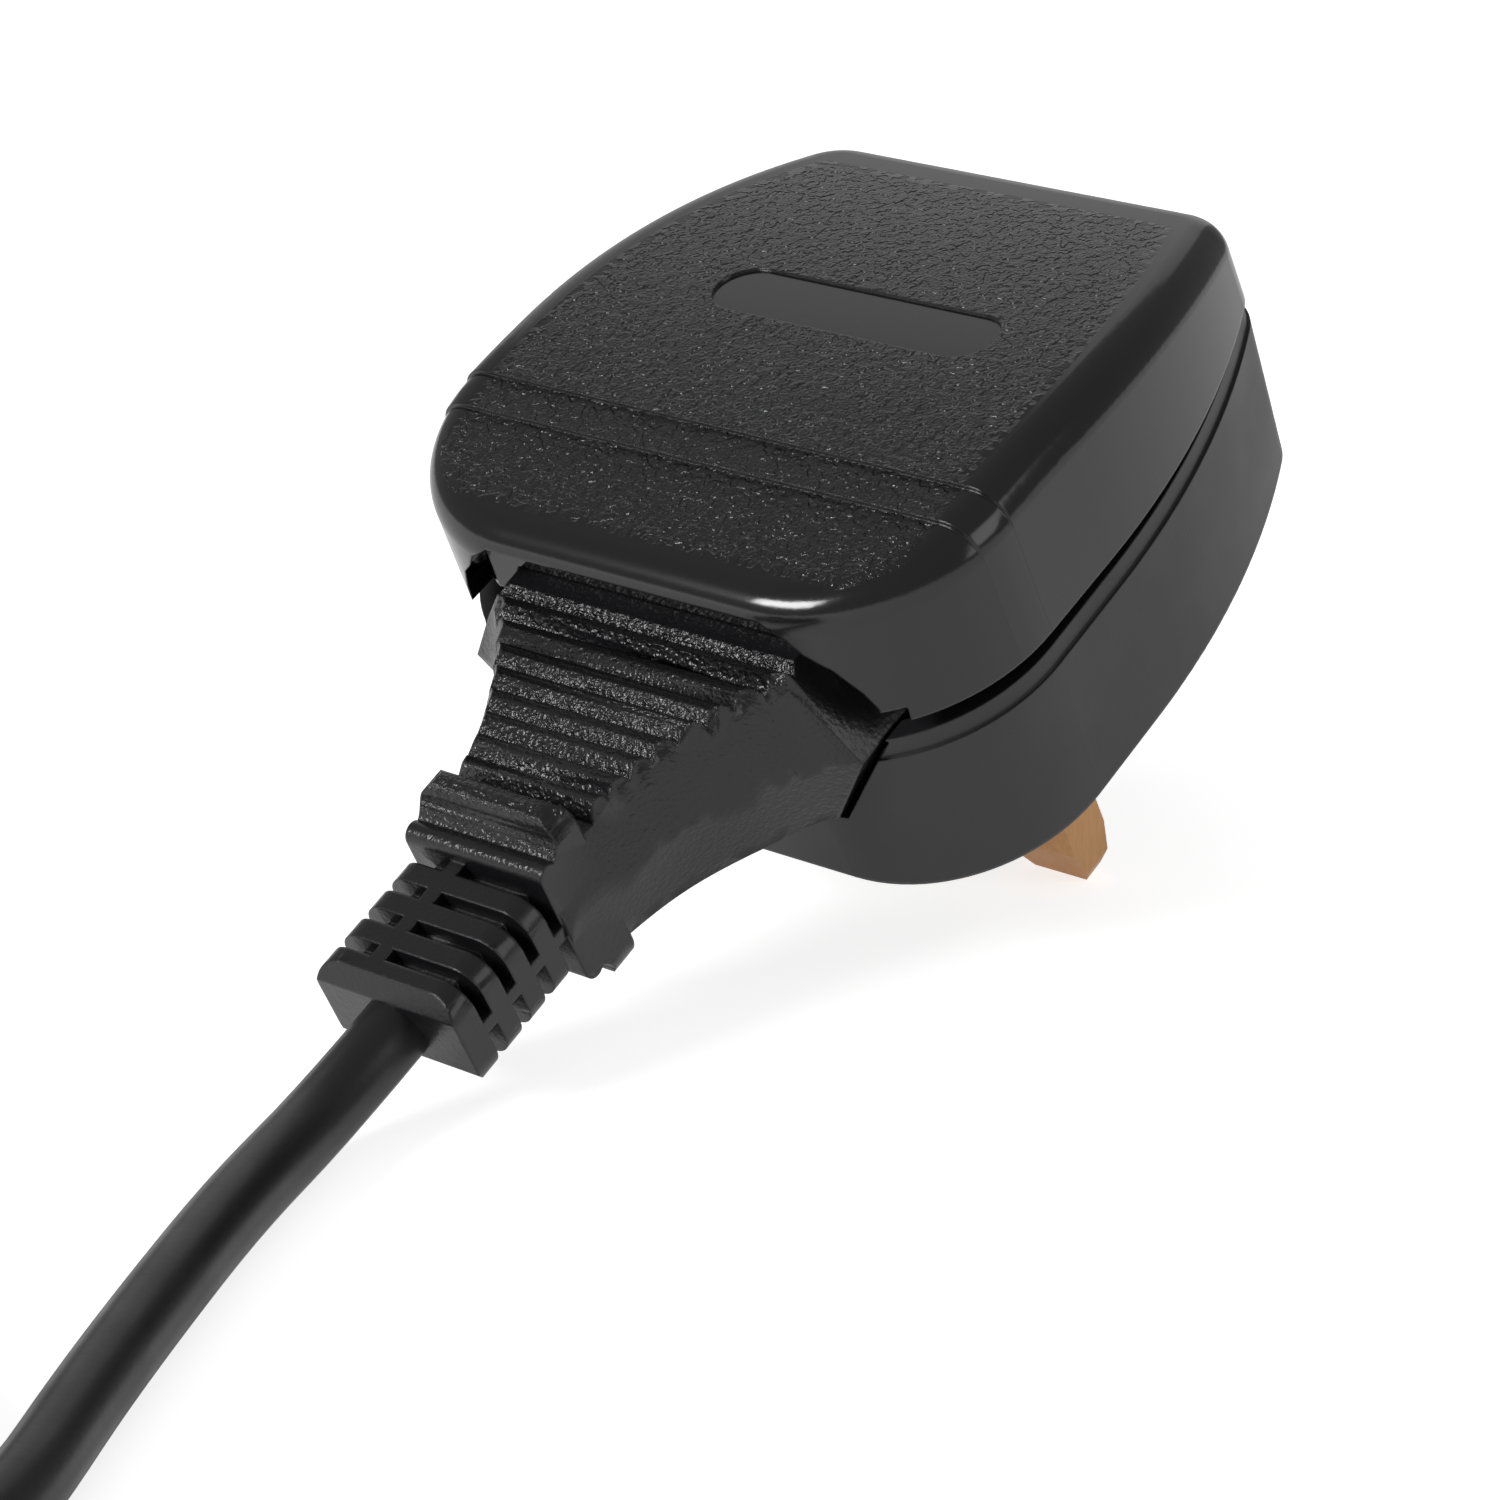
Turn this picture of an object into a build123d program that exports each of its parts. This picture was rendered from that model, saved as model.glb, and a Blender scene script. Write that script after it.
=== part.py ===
from build123d import *
import math
import os

# Converter plug: a fused three-pin housing closed round a moulded two-pin lead plug.
# Everything is drawn in the plug's own frame (engagement face at z = 0, line and neutral
# pins on the X axis, cord towards -Y) and then laid in its resting pose in one move.
# All sizes in millimetres, angles in degrees.

# ---------------------------------------------------------------- resting pose
REST_TILT = 27.0          # nose-down lean on the tips of the line and neutral pins

# ---------------------------------------------------------------- housing, plan view
HALF_WIDTH = 24.8         # half width at the widest place of the seam
FRONT_EDGE = 20.0         # cord-side edge ahead of the pin line
BACK_EDGE = 30.6          # earth-side edge behind the pin line
BACK_HALF = 18.05         # half width of the straight back edge before its corners
SIDE_BREAK = 1.6          # where the straight side turns into the long side arc
FRONT_CORNER = 13.7       # plan radius of the front corners
BACK_CORNER = 4.8         # plan radius of the back corners

# ---------------------------------------------------------------- base shell
BASE_HEIGHT = 15.03
BASE_DRAFT = 3.05
BASE_FLOOR = 2.6
WALL = 2.0
FOOT_EDGE = 0.8           # rounding round the engagement face
LIP_HEIGHT = 1.6          # narrower band under the seam
LIP_STEP = 0.3

# ---------------------------------------------------------------- cover
SEAM_GAP = 0.27
COVER_FRONT_TOP = 26.65   # height of the closed cover at the cord end
COVER_MID_TOP = 27.65     # height over the pin line
COVER_BACK_TOP = 21.5     # height at the earth end
COVER_DRAFT = 1.4
COVER_EDGE = 2.8
STEP_DROP = 0.3           # each of the two steps across the top
STEP_1 = 6.06             # their distance in front of the pin line
STEP_2 = 9.27
PLATE_LENGTH = 24.7       # sunk plain plate on the top
PLATE_WIDTH = 5.4
PLATE_X = 1.6
PLATE_Y = 8.2
PLATE_DEPTH = 0.22
AJAR = 1.5                # the cover rests on the lead plug, this far open
RIB_THICK = 1.6           # gripping ribs in both halves
RIB_FRONT = 16.0
RIB_REAR = 6.0
GRIP_GAP = 0.1            # between the ribs and the lead plug
MOUTH_TOP = 24.7          # cord opening in the closed cover
MOUTH_GAP = 0.5           # round the lead plug in the base
MOUTH_DEEP = 3.4          # how far behind the wall the opening is cleared at the corners
NOTCH_WIDTH = 1.5
NOTCH_HEIGHT = 1.2

# ---------------------------------------------------------------- hinge
HINGE_OUT = 0.4           # axis behind the back edge
KNUCKLE_R = 1.7
HINGE_PIN_R = 0.75
HINGE_HALF = 12.0         # half length of the whole hinge
KNUCKLE_HALF = 3.8        # half length of the cover's knuckle
KNUCKLE_GAP = 0.25
RUN_GAP = 0.05            # running clearance on the pin

# ---------------------------------------------------------------- flat pins
PIN_SPACING = 22.23       # line to neutral, and pin line to earth pin
PIN_WIDTH = 6.35
PIN_THICK = 4.0
PIN_LENGTH = 17.7
TIP_HALF = 1.0            # half thickness left at the wedge tip
TIP_TAPER = 3.7
SIDE_TAPER = 1.3          # the tip's narrow sides
SIDE_CHAMFER = 0.8
SLEEVE_LENGTH = 9.5
SLEEVE_WALL = 0.55
SLEEVE_SEAT = 0.8         # how far the sleeves stand inside the base's floor
EARTH_WIDTH = 4.0
EARTH_DEPTH = 8.0
EARTH_LENGTH = 22.73
HEAD_HIGH = 1.4
HEAD_SIDE = 1.9           # how far a pin's head overhangs its slot
SLOT_GAP = 0.05

# ---------------------------------------------------------------- moulded two-pin lead plug
AXIS_Z = 14.8             # its centre line above the engagement face
HEX_HALF = 17.65          # 35.3 across the points
HEX_FLAT = 13.05          # 26.1 across the flats
HEX_HIGH = 6.85           # 13.7 thick
HEX_BACK = 2.0            # its pin face ahead of the pin line
ROUND_SPACING = 18.6
ROUND_TIP_R = 2.0
ROUND_SHANK_R = 1.5
ROUND_SLEEVE_R = 1.9
ROUND_SLEEVE_LENGTH = 10.0
ROUND_LENGTH = 19.0
ROUND_BURY = 5.0
# neck sections: distance in front of the shoulder, half width at the parting line,
# half width of the flat, half height
NECK = [
    (0.0, 17.65, 13.05, 6.85),
    (2.0, 13.9, 11.15, 6.72),
    (5.0, 11.4, 9.35, 6.48),
    (8.5, 9.2, 7.5, 6.22),
    (12.5, 7.8, 6.2, 5.92),
    (16.5, 6.9, 5.6, 5.5),
    (19.8, 6.6, 5.4, 4.6),
]
TEETH = 8                 # saw-tooth grips on top and underneath
TOOTH_START = -0.85       # the first one begins inside the housing's opening
TOOTH_PITCH = 1.88
TOOTH_DEPTH = 0.75
TOOTH_BULGE = 0.22        # each tooth's back is rounded outwards
TOOTH_INSET = 0.9         # the lower teeth stop this far inside the flat's edges
COLLAR_START = 15.2       # double ridge at the end of the neck
COLLAR_HALF = 6.2
COLLAR_HIGH = 7.8
COLLAR_LOW = 5.35
COLLAR_LENGTH = 4.8
COLLAR_GROOVE = 1.1       # valley between the last tooth and the collar
COLLAR_CORNER = 2.2
RELIEF_HALF = 6.3         # strain relief, slotted from both faces and both sides
RELIEF_HIGH = 4.1
RELIEF_LENGTH = 11.3
RELIEF_CORNER = 2.1
SLOTS = 4
SLOT_PITCH = 2.7
SLOT_LENGTH = 1.05
WEB_X = -1.6              # the bars left standing between the slots
WEB_WIDE = 1.2
SIDE_WEB = 1.0
CORE_HALF = 4.2
CORE_HIGH = 2.8
RELIEF_SLANT = 0.9        # the end face slopes back at its upper and lower edges

# ---------------------------------------------------------------- contacts, fuse, strips
BLOCK_HALF = 14.2
BLOCK_FRONT = 1.2
BLOCK_BACK = 18.2
BLOCK_FOOT = 12.2
BLOCK_TOP = 18.2
CONTACT_SIZE = 5.2
CONTACT_LENGTH = 10.0
CONTACT_BACK = 17.5
ENTRY_R = 2.2
STRIP_THICK = 0.7
STRIP_WIDE = 4.8
POST_R = 2.3
POST_SCREW_FRONT = 0.4
POST_SCREW_REAR = 14.9
SCREW_R = 1.1
SCREW_HEAD_R = 2.1
SCREW_HEAD_HIGH = 1.5
FUSE_Y = 23.2
FUSE_Z = 11.0
FUSE_LENGTH = 25.4
FUSE_CAP_R = 3.175
FUSE_CAP_LENGTH = 6.0
FUSE_TUBE_R = 2.8
CLIP_WIDE = 4.4
CLIP_THICK = 0.6
CLIP_POST_TOP = 6.4
LOCK_Y = 7.5
LOCK_HEAD_R = 2.8
LOCK_HEAD_HIGH = 2.2
LOCK_SHANK_R = 1.5
LOCK_TIP = 18.9
LOCK_SINK = 3.0           # head this far up inside its counterbore
LOCK_GAP = 0.3
BOSS_R = 4.75
BOSS_TOP = 9.0
COVER_BOSS_R = 3.5
COVER_BOSS_FOOT = 19.0

# ---------------------------------------------------------------- lead, coil and connector
LEAD_R = 2.5
COIL_MEAN = 30.0          # mean radius of the put-away turns
COIL_WIDE = 22.0
COIL_HIGH = 11.0
COIL_LIFT = 0.15
STUB = 21.0               # straight end that leaves the bundle
TIE_WIDE = 5.0
TIE_THICK = 0.8
CONN_HIGH = 9.4           # figure-of-eight connector
CONN_WIDE = 16.6
CONN_GRIP = 17.0
CONN_NOSE = 10.0
CONN_LOBE = 3.9
CONN_PITCH = 8.6
CONN_RELIEF = 14.0
CONN_RELIEF_R = 3.7
CONN_BORE = 1.2
CONN_ENTRY = 1.5
CONN_ENTRY_DEEP = 3.0
CONN_SLEEVE = 1.8
CONN_SLEEVE_LENGTH = 7.0

# ---------------------------------------------------------------- derived places
tilt = math.radians(REST_TILT)
LIFT = PIN_LENGTH * math.cos(tilt) + TIP_HALF * math.sin(tilt)
POSE = Pos(0, 0, LIFT) * Rot(REST_TILT, 0, 0)
half_pins = PIN_SPACING / 2
half_round = ROUND_SPACING / 2
seam_top = BASE_HEIGHT + SEAM_GAP
hinge_y = BACK_EDGE + HINGE_OUT
hinge_z = BASE_HEIGHT + SEAM_GAP / 2
plug_back = -HEX_BACK
clip_x = FUSE_LENGTH / 2 - FUSE_CAP_LENGTH / 2
shoulder = -FRONT_EDGE
side_radius = ((BACK_EDGE - SIDE_BREAK) ** 2 + (HALF_WIDTH - BACK_HALF) ** 2) / (
    2 * (HALF_WIDTH - BACK_HALF)
)
base_shrink = BASE_HEIGHT * math.tan(math.radians(BASE_DRAFT))


def box(x0, x1, y0, y1, z0, z1):
    """Block between two corners."""
    return Pos((x0 + x1) / 2, (y0 + y1) / 2, (z0 + z1) / 2) * Box(x1 - x0, y1 - y0, z1 - z0)


def rod(x, y, z0, z1, r):
    """Upright cylinder."""
    return Pos(x, y, (z0 + z1) / 2) * Cylinder(r, z1 - z0)


def rod_y(x, z, y0, y1, r):
    """Cylinder along Y."""
    return Pos(x, (y0 + y1) / 2, z) * Rot(90, 0, 0) * Cylinder(r, y1 - y0)


def rod_x(y, z, x0, x1, r):
    """Cylinder along X."""
    return Pos((x0 + x1) / 2, y, z) * Rot(0, 90, 0) * Cylinder(r, x1 - x0)


def prism_x(points, x0, x1):
    """Side-view outline (y, z) carried from x0 to x1."""
    face = make_face(Polyline(*[(x0, y, z) for y, z in points], close=True))
    return extrude(face, x1 - x0, dir=(1, 0, 0))


def prism_y(points, y0, y1):
    """Front-view outline (x, z) carried from y0 to y1."""
    face = make_face(Polyline(*[(x, y0, z) for x, z in points], close=True))
    return extrude(face, y1 - y0, dir=(0, 1, 0))


def plan(inset, z):
    """Plan outline of the housing, inset all round, at height z."""
    hw = HALF_WIDTH - inset
    fe = FRONT_EDGE - inset
    be = BACK_EDGE - inset
    cx = HALF_WIDTH - FRONT_CORNER
    cy = FRONT_CORNER - FRONT_EDGE
    r = side_radius - inset
    sx = HALF_WIDTH - side_radius
    bx = sx + math.sqrt(r * r - (be - SIDE_BREAK) ** 2)
    edges = [
        Line((-cx, -fe), (cx, -fe)),
        TangentArc((cx, -fe), (hw, cy), tangent=(1, 0)),
        Line((hw, cy), (hw, SIDE_BREAK)),
        TangentArc((hw, SIDE_BREAK), (bx, be), tangent=(0, 1)),
        Line((bx, be), (-bx, be)),
        TangentArc((-hw, SIDE_BREAK), (-bx, be), tangent=(0, 1)),
        Line((-hw, SIDE_BREAK), (-hw, cy)),
        TangentArc((-cx, -fe), (-hw, cy), tangent=(-1, 0)),
    ]
    face = make_face(Curve() + edges)
    corners = face.vertices().sort_by(Axis.Y)[-2:]
    return Pos(0, 0, z) * fillet(corners, BACK_CORNER - inset)


def drafted(inset_low, z_low, inset_high, z_high):
    """Solid between two insets of the plan outline."""
    return loft([plan(inset_low, z_low), plan(inset_high, z_high)], ruled=True)


def hexagon(gap, y0, y1):
    """Prism of the lead plug's six-sided outline, grown by a gap."""
    grow = gap * math.hypot(HEX_HIGH, HEX_HALF - HEX_FLAT) / HEX_HIGH
    slope = gap * (HEX_HALF - HEX_FLAT) / HEX_HIGH
    w = HEX_HALF + grow
    f = HEX_FLAT + grow - slope
    h = HEX_HIGH + gap
    z = AXIS_Z
    return prism_y([(-w, z), (-f, z - h), (f, z - h), (w, z), (f, z + h), (-f, z + h)], y0, y1)


# ---------------------------------------------------------------- base shell
def base_inset(z):
    return (BASE_HEIGHT - z) * math.tan(math.radians(BASE_DRAFT))


base = drafted(base_shrink, 0, 0, BASE_HEIGHT)
base = fillet(base.edges().group_by(Axis.Z)[0], FOOT_EDGE)
cavity = drafted(WALL + base_inset(BASE_FLOOR), BASE_FLOOR, WALL, BASE_HEIGHT)
base -= cavity
band = extrude(plan(-1.0, BASE_HEIGHT - LIP_HEIGHT), LIP_HEIGHT)
base -= band - extrude(plan(LIP_STEP, BASE_HEIGHT - LIP_HEIGHT), LIP_HEIGHT)

# lower half of the cord opening
mouth_end = -FRONT_EDGE + WALL + MOUTH_DEEP
base -= hexagon(MOUTH_GAP, -FRONT_EDGE - 1, mouth_end)
# gripping ribs under the lead plug
rib_top = AXIS_Z - 2.2
for y in (-RIB_FRONT, -RIB_REAR):
    rib = box(-HALF_WIDTH, HALF_WIDTH, y - RIB_THICK / 2, y + RIB_THICK / 2, BASE_FLOOR, rib_top)
    base += (rib & cavity) - hexagon(GRIP_GAP, -FRONT_EDGE, plug_back)
# posts for the contact block, the fuse clips and the locking screw
for y in (POST_SCREW_FRONT, POST_SCREW_REAR):
    base += rod(0, y, BASE_FLOOR, BLOCK_FOOT, POST_R)
    base -= rod(0, y, BLOCK_FOOT - 5, BLOCK_FOOT, SCREW_R)
clip_half = CLIP_WIDE / 2
post_front = BLOCK_BACK + STRIP_THICK + 0.4
post_rear = FUSE_Y + FUSE_CAP_R
for s in (-1, 1):
    x0 = s * clip_x
    base += box(x0 - clip_half, x0 + clip_half, post_front, post_rear, BASE_FLOOR, CLIP_POST_TOP)
base += rod(0, LOCK_Y, BASE_FLOOR, BOSS_TOP, BOSS_R)
lock_seat = LOCK_SINK + LOCK_HEAD_HIGH
base -= rod(0, LOCK_Y, -1, lock_seat + 1.3, LOCK_HEAD_R + LOCK_GAP)
base -= rod(0, LOCK_Y, 0, BOSS_TOP + 1, LOCK_SHANK_R + LOCK_GAP)
# slots of the three pins
core_half_x = PIN_WIDTH / 2 - SLEEVE_WALL
core_half_y = PIN_THICK / 2 - SLEEVE_WALL
for s in (-1, 1):
    x0 = s * half_pins
    base -= box(
        x0 - core_half_x - SLOT_GAP,
        x0 + core_half_x + SLOT_GAP,
        -core_half_y - SLOT_GAP,
        core_half_y + SLOT_GAP,
        -1,
        BASE_FLOOR + 1,
    )
    base -= box(
        x0 - PIN_WIDTH / 2 - SLOT_GAP,
        x0 + PIN_WIDTH / 2 + SLOT_GAP,
        -PIN_THICK / 2 - SLOT_GAP,
        PIN_THICK / 2 + SLOT_GAP,
        -1,
        SLEEVE_SEAT,
    )
earth_y = PIN_SPACING
earth_half_x = EARTH_WIDTH / 2
earth_half_y = EARTH_DEPTH / 2
base -= box(
    -earth_half_x - SLOT_GAP,
    earth_half_x + SLOT_GAP,
    earth_y - earth_half_y - SLOT_GAP,
    earth_y + earth_half_y + SLOT_GAP,
    -1,
    BASE_FLOOR + 1,
)

# ---------------------------------------------------------------- cover, drawn closed
cover_high = COVER_MID_TOP + 1 - seam_top
top_arc = ThreePointArc(
    (-FRONT_EDGE, COVER_FRONT_TOP), (0, COVER_MID_TOP), (BACK_EDGE, COVER_BACK_TOP)
)
top_centre = top_arc.arc_center
top_radius = top_arc.radius


def under_arch(drop):
    """Half space below the arched top, as a long cylinder."""
    return rod_x(top_centre.X, top_centre.Y, -40, 40, top_radius - drop)


def cover_inset(z):
    return (z - seam_top) * math.tan(math.radians(COVER_DRAFT))


cover = drafted(0, seam_top, cover_inset(seam_top + cover_high), seam_top + cover_high)
cover &= under_arch(0)
rim = [
    e
    for e in cover.edges()
    if e.center().Z > COVER_BACK_TOP - 0.5 and e.bounding_box().min.Z > COVER_BACK_TOP - 1.0
]
cover = fillet(rim, COVER_EDGE)
# two shallow steps across the cord end
for y in (STEP_1, STEP_2):
    rear = cover & box(-40, 40, -y, 40, 0, 40)
    front = Pos(0, 0, -STEP_DROP) * cover & box(-40, 40, -40, -y, seam_top, 40)
    cover = rear + front
plate = Pos(PLATE_X, PLATE_Y, seam_top) * SlotOverall(PLATE_LENGTH, PLATE_WIDTH)
cover -= extrude(plate, cover_high) - under_arch(PLATE_DEPTH)
# hollow inside
inner_drop = WALL + 2 * STEP_DROP
hollow = drafted(WALL, seam_top - 1, WALL + 0.3, seam_top + cover_high) & under_arch(inner_drop)
shell = cover - hollow
# cord opening with its side notches
mouth_wide = HEX_HALF + 0.95
mouth_slant = [
    (mouth_wide, seam_top - 1),
    (mouth_wide, AXIS_Z + 2.0),
    (mouth_wide - 0.6, AXIS_Z + 3.7),
    (mouth_wide - 1.9, AXIS_Z + 5.9),
    (mouth_wide - 3.5, AXIS_Z + 7.4),
    (mouth_wide - 4.5, AXIS_Z + 8.8),
    (mouth_wide - 6.3, MOUTH_TOP),
]
mouth = mouth_slant + [(-x, z) for x, z in reversed(mouth_slant)]
shell -= prism_y(mouth, -FRONT_EDGE - 1, mouth_end)
notch = mouth_wide + NOTCH_WIDTH
shell -= box(-notch, notch, -FRONT_EDGE - 1, -10, seam_top - 1, seam_top + NOTCH_HEIGHT)
# ribs that rest on the lead plug, and the boss that takes the locking screw
for y in (-RIB_FRONT, -RIB_REAR):
    rib = box(-HEX_HALF, HEX_HALF, y - RIB_THICK / 2, y + RIB_THICK / 2, AXIS_Z + 3, 40)
    shell += rib & hollow
shell += rod(0, LOCK_Y, COVER_BOSS_FOOT, 40, COVER_BOSS_R) & hollow
shell -= rod(0, LOCK_Y, COVER_BOSS_FOOT - 1, COVER_BOSS_FOOT + 4.5, LOCK_SHANK_R + LOCK_GAP)

# ---------------------------------------------------------------- hinge
web = [
    (hinge_y - KNUCKLE_R, hinge_z),
    (hinge_y + KNUCKLE_R, hinge_z),
    (hinge_y + KNUCKLE_R * 0.8, hinge_z + KNUCKLE_R),
    (BACK_EDGE - 0.5, hinge_z + 4.2),
    (BACK_EDGE - 1.2, hinge_z + 4.2),
    (BACK_EDGE - 1.2, hinge_z + KNUCKLE_R),
]
relief_r = KNUCKLE_R + KNUCKLE_GAP
bore_r = HINGE_PIN_R + RUN_GAP
gap_x = KNUCKLE_HALF + KNUCKLE_GAP
for s in (-1, 1):
    x0, x1 = sorted((s * KNUCKLE_HALF, s * (HINGE_HALF + KNUCKLE_GAP)))
    shell -= rod_x(hinge_y, hinge_z, x0, x1, relief_r)
shell += prism_x(web, -KNUCKLE_HALF, KNUCKLE_HALF)
shell += rod_x(hinge_y, hinge_z, -KNUCKLE_HALF, KNUCKLE_HALF, KNUCKLE_R)
shell -= rod_x(hinge_y, hinge_z, -HINGE_HALF, HINGE_HALF, bore_r)
base -= rod_x(hinge_y, hinge_z, -gap_x, gap_x, relief_r)
low_web = [(y, 2 * hinge_z - z) for y, z in web]
for s in (-1, 1):
    x0, x1 = sorted((s * gap_x, s * HINGE_HALF))
    base += prism_x(low_web, x0, x1)
    base += rod_x(hinge_y, hinge_z, x0, x1, KNUCKLE_R)
base -= rod_x(hinge_y, hinge_z, -HINGE_HALF, HINGE_HALF, HINGE_PIN_R)
hinge_pin = rod_x(hinge_y, hinge_z, -HINGE_HALF, HINGE_HALF, HINGE_PIN_R)
# the cover lies open by a hair, with its ribs on the lead plug
swing = Pos(0, hinge_y, hinge_z) * Rot(-AJAR, 0, 0) * Pos(0, -hinge_y, -hinge_z)
shell = swing * shell
shell -= hexagon(GRIP_GAP, -FRONT_EDGE, plug_back)

# ---------------------------------------------------------------- flat pins and their sleeves
pins = {}
for side, s in (("live", 1), ("neutral", -1)):
    x0 = s * half_pins
    blade = box(
        x0 - PIN_WIDTH / 2,
        x0 + PIN_WIDTH / 2,
        -PIN_THICK / 2,
        PIN_THICK / 2,
        -PIN_LENGTH,
        SLEEVE_SEAT,
    )
    shank = box(
        x0 - core_half_x, x0 + core_half_x, -core_half_y, core_half_y, -PIN_LENGTH, BASE_FLOOR
    )
    ring_top = box(x0 - 9, x0 + 9, -9, 9, -SLEEVE_LENGTH, SLEEVE_SEAT)
    sleeve = (blade & ring_top) - shank
    wedge = prism_x(
        [
            (-TIP_HALF, -PIN_LENGTH),
            (TIP_HALF, -PIN_LENGTH),
            (PIN_THICK / 2, -PIN_LENGTH + TIP_TAPER),
            (PIN_THICK / 2, BASE_FLOOR),
            (-PIN_THICK / 2, BASE_FLOOR),
            (-PIN_THICK / 2, -PIN_LENGTH + TIP_TAPER),
        ],
        x0 - PIN_WIDTH / 2,
        x0 + PIN_WIDTH / 2,
    )
    half_pin = PIN_WIDTH / 2
    wedge &= prism_y(
        [
            (x0 - half_pin + SIDE_CHAMFER, -PIN_LENGTH),
            (x0 + half_pin - SIDE_CHAMFER, -PIN_LENGTH),
            (x0 + half_pin, -PIN_LENGTH + SIDE_TAPER),
            (x0 + half_pin, BASE_FLOOR),
            (x0 - half_pin, BASE_FLOOR),
            (x0 - half_pin, -PIN_LENGTH + SIDE_TAPER),
        ],
        -PIN_THICK,
        PIN_THICK,
    )
    head = box(
        x0 - core_half_x - HEAD_SIDE,
        x0 + core_half_x + HEAD_SIDE,
        -core_half_y - HEAD_SIDE,
        core_half_y + HEAD_SIDE,
        BASE_FLOOR,
        BASE_FLOOR + HEAD_HIGH,
    )
    pins[side + "_pin"] = (blade - ring_top & wedge) + (shank & wedge) + head
    pins[side + "_pin_sleeve"] = sleeve
earth = box(
    -earth_half_x,
    earth_half_x,
    earth_y - earth_half_y,
    earth_y + earth_half_y,
    -EARTH_LENGTH,
    BASE_FLOOR,
)
earth = chamfer(earth.edges().group_by(Axis.Z)[0], 0.9)
earth += box(
    -earth_half_x - 1.2,
    earth_half_x + 1.2,
    earth_y - earth_half_y - 0.8,
    earth_y + earth_half_y - 1.0,
    BASE_FLOOR,
    BASE_FLOOR + HEAD_HIGH,
)

# ---------------------------------------------------------------- lead plug
plug = hexagon(0, shoulder, plug_back)


def neck_section(out, mid, flat, high):
    y = shoulder - out
    z = AXIS_Z
    points = [(-mid, z), (-flat, z - high), (flat, z - high), (mid, z), (flat, z + high)]
    points.append((-flat, z + high))
    return make_face(Polyline(*[(x, y, h) for x, h in points], close=True))


neck = loft([neck_section(*row) for row in NECK])
plug += neck
grip_rows = [row for row in NECK if row[0] < COLLAR_START + TOOTH_PITCH]
fall = (NECK[0][3] - grip_rows[-1][3]) / grip_rows[-1][0]


def flat_half(out):
    """Half width of the neck's flat at a distance in front of the shoulder."""
    for a, b in zip(NECK, NECK[1:]):
        if a[0] <= out <= b[0]:
            return a[2] + (b[2] - a[2]) * (out - a[0]) / (b[0] - a[0])
    return NECK[-1][2]


for k in range(TEETH):
    out = TOOTH_START + k * TOOTH_PITCH
    high = HEX_HIGH - fall * out
    low_end = high - fall * TOOTH_PITCH
    for s, reach in ((1, HEX_HALF), (-1, flat_half(out + TOOTH_PITCH) - TOOTH_INSET)):
        foot = (-reach, shoulder - out, AXIS_Z + s * (high - TOOTH_DEPTH))
        crest = (-reach, shoulder - out - TOOTH_PITCH, AXIS_Z + s * low_end)
        middle = (
            -reach,
            (foot[1] + crest[1]) / 2,
            (foot[2] + crest[2]) / 2 + s * TOOTH_BULGE,
        )
        rise = AXIS_Z + s * (high + 1)
        profile = [
            ThreePointArc(foot, middle, crest),
            Line(crest, (-reach, crest[1], rise)),
            Line((-reach, crest[1], rise), (-reach, foot[1], rise)),
            Line((-reach, foot[1], rise), foot),
        ]
        plug -= extrude(make_face(Curve() + profile), 2 * reach, dir=(1, 0, 0))
# double-ridged collar, behind a valley that ends the row of teeth
c0 = shoulder - COLLAR_START
last = shoulder - TOOTH_START - TEETH * TOOTH_PITCH
if last > c0:
    valley = AXIS_Z + HEX_HIGH - fall * COLLAR_START - COLLAR_GROOVE
    plug -= box(-HEX_HALF, HEX_HALF, c0, last, valley, AXIS_Z + HEX_HIGH)


def collar_side(s):
    """Upper or lower outline of the two ridges, from the centre line outwards."""

    def p(out, high):
        return (-COLLAR_HALF, c0 - out, AXIS_Z + s * high)

    crest = p(0.23 * COLLAR_LENGTH, COLLAR_HIGH)
    saddle = p(0.66 * COLLAR_LENGTH, COLLAR_LOW - 0.3)
    fall_to = p(0.46 * COLLAR_LENGTH, COLLAR_HIGH - 0.8)
    foot = p(COLLAR_LENGTH, COLLAR_LOW - 0.9)
    return [
        Line(p(0, 0), p(0, COLLAR_HIGH - 1.0)),
        ThreePointArc(p(0, COLLAR_HIGH - 1.0), crest, fall_to),
        ThreePointArc(fall_to, p(0.53 * COLLAR_LENGTH, COLLAR_LOW + 0.4), saddle),
        ThreePointArc(saddle, p(0.86 * COLLAR_LENGTH, COLLAR_LOW), foot),
        Line(foot, p(COLLAR_LENGTH, 0)),
        Line(p(COLLAR_LENGTH, 0), p(0, 0)),
    ]


collar = extrude(make_face(Curve() + collar_side(1)), 2 * COLLAR_HALF, dir=(1, 0, 0))
collar += extrude(make_face(Curve() + collar_side(-1)), 2 * COLLAR_HALF, dir=(1, 0, 0))


def rounded_y(half_x, half_z, corner, y0, y1):
    """Bar along Y with a rounded section, centred on the lead plug's centre line."""
    section = Plane.XZ * Pos(0, AXIS_Z) * RectangleRounded(2 * half_x, 2 * half_z, corner)
    return Pos(0, y1, 0) * extrude(section, y1 - y0)


collar &= rounded_y(COLLAR_HALF, COLLAR_HIGH, COLLAR_CORNER, c0 - COLLAR_LENGTH, c0)
plug += collar
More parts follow.
